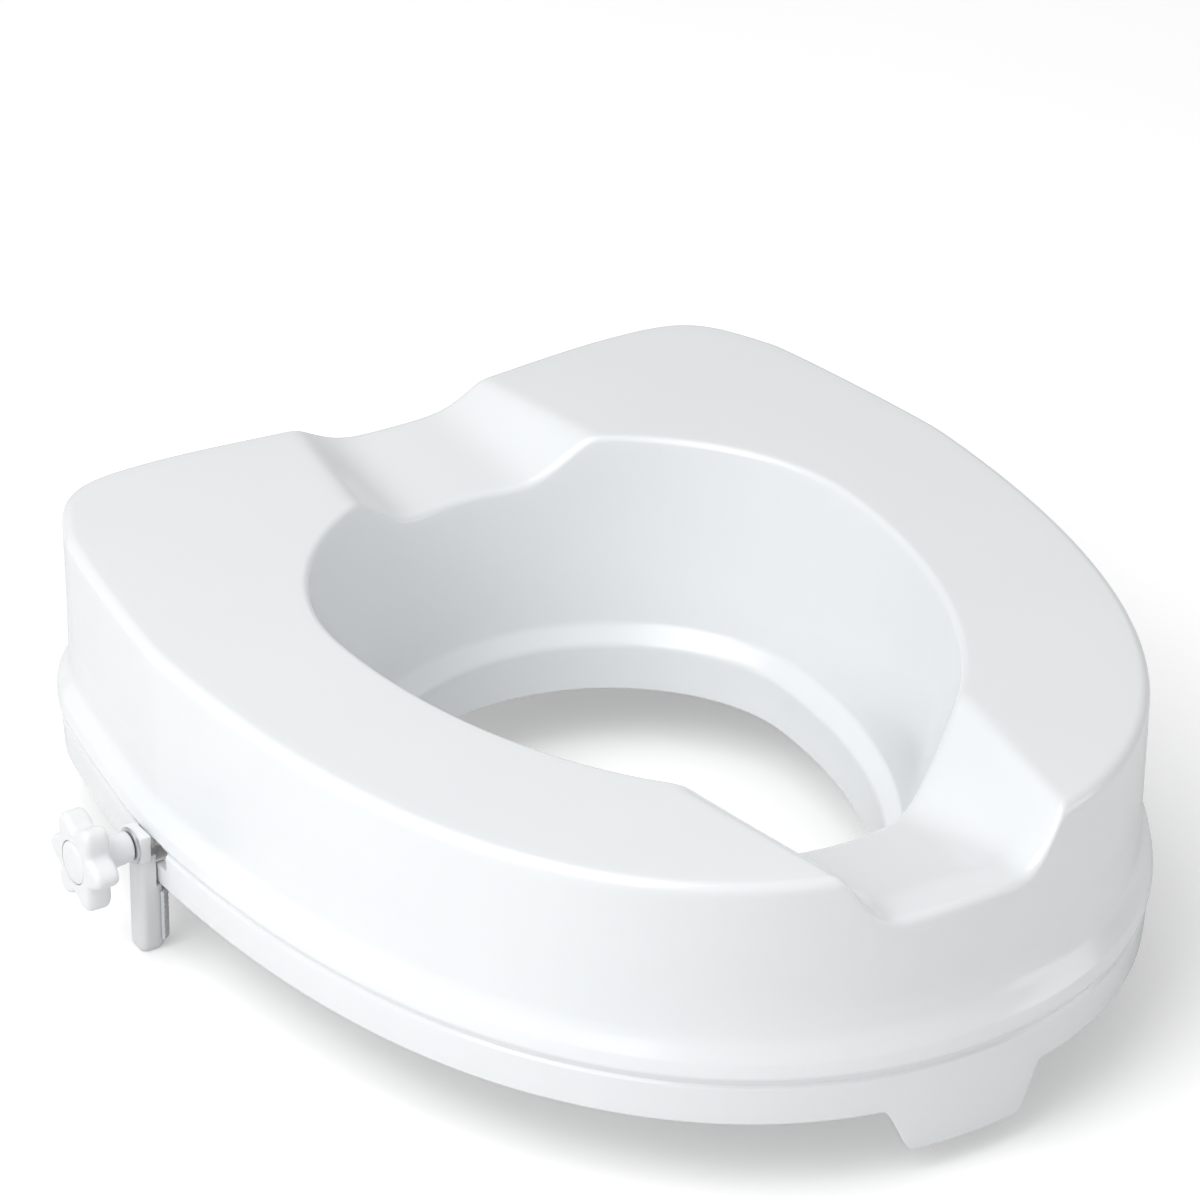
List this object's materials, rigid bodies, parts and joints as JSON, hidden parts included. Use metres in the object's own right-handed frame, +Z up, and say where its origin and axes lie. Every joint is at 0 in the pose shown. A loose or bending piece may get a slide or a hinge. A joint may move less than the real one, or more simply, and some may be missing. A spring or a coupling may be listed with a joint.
{
  "type": "raised toilet seat",
  "caption": "Hollow moulded riser that stands on a toilet bowl rim, with an oval opening, front and rear hygiene recesses and side screw clamps with lobed knobs.",
  "frame": {"origin": "middle of the rear rest pad's underside, on the plane of the bowl rim and in the seat's mirror plane", "axes": "+X to the sitter's left side as seen from the front looking back, +Y to the rear, +Z up; the front lug faces -Y"},
  "size_m": [0.454, 0.4484, 0.1324],
  "materials": {
    "shell_plastic": "moulded white polypropylene, soft gloss",
    "clamp_plastic": "moulded white plastic, satin gloss",
    "nylon": "natural nylon, satin",
    "pad_rubber": "soft pale anti-slip rubber, matt",
    "steel": "bright zinc"
  },
  "bodies": {
    "seat": {"seat_shell": "shell_plastic", "rest_pad_rear": "pad_rubber", "rest_pad_front": "pad_rubber", "rest_pad_right": "pad_rubber", "rest_pad_left": "pad_rubber", "nut_block_right": "nylon", "block_screw_front_right": "steel", "block_screw_rear_right": "steel", "nut_block_left": "nylon", "block_screw_front_left": "steel", "block_screw_rear_left": "steel"},
    "jaw_right": {"clamp_jaw_right": "clamp_plastic", "jaw_pad_right": "pad_rubber"},
    "knob_right": {"clamp_spindle_right": "nylon", "clamp_knob_right": "clamp_plastic", "knob_cap_right": "clamp_plastic", "thrust_washer_right": "steel", "jaw_clip_right": "steel", "end_stop_ring_right": "steel"},
    "jaw_left": {"clamp_jaw_left": "clamp_plastic", "jaw_pad_left": "pad_rubber"},
    "knob_left": {"clamp_spindle_left": "nylon", "clamp_knob_left": "clamp_plastic", "knob_cap_left": "clamp_plastic", "thrust_washer_left": "steel", "jaw_clip_left": "steel", "end_stop_ring_left": "steel"}
  },
  "joints": [
    {"name": "jaw_slide_right", "type": "slide", "parent": "seat", "child": "jaw_right", "axis": [1, 0, 0], "range_m": [0, 0.012]},
    {"name": "knob_turn_right", "type": "hinge", "parent": "jaw_right", "child": "knob_right", "pos_m": [0.2, -0.1103, 0.0086], "axis": [1, 0, 0], "range_deg": [0, 1440]},
    {"name": "jaw_slide_left", "type": "slide", "parent": "seat", "child": "jaw_left", "axis": [-1, 0, 0], "range_m": [0, 0.012]},
    {"name": "knob_turn_left", "type": "hinge", "parent": "jaw_left", "child": "knob_left", "pos_m": [-0.2, -0.1103, 0.0086], "axis": [-1, 0, 0], "range_deg": [0, 1440]}
  ],
  "couplings": [
    {"joint": "jaw_slide_right", "follows": "knob_turn_right", "m_per_rad": 0.00047746},
    {"joint": "jaw_slide_left", "follows": "knob_turn_left", "m_per_rad": 0.00047746}
  ]
}
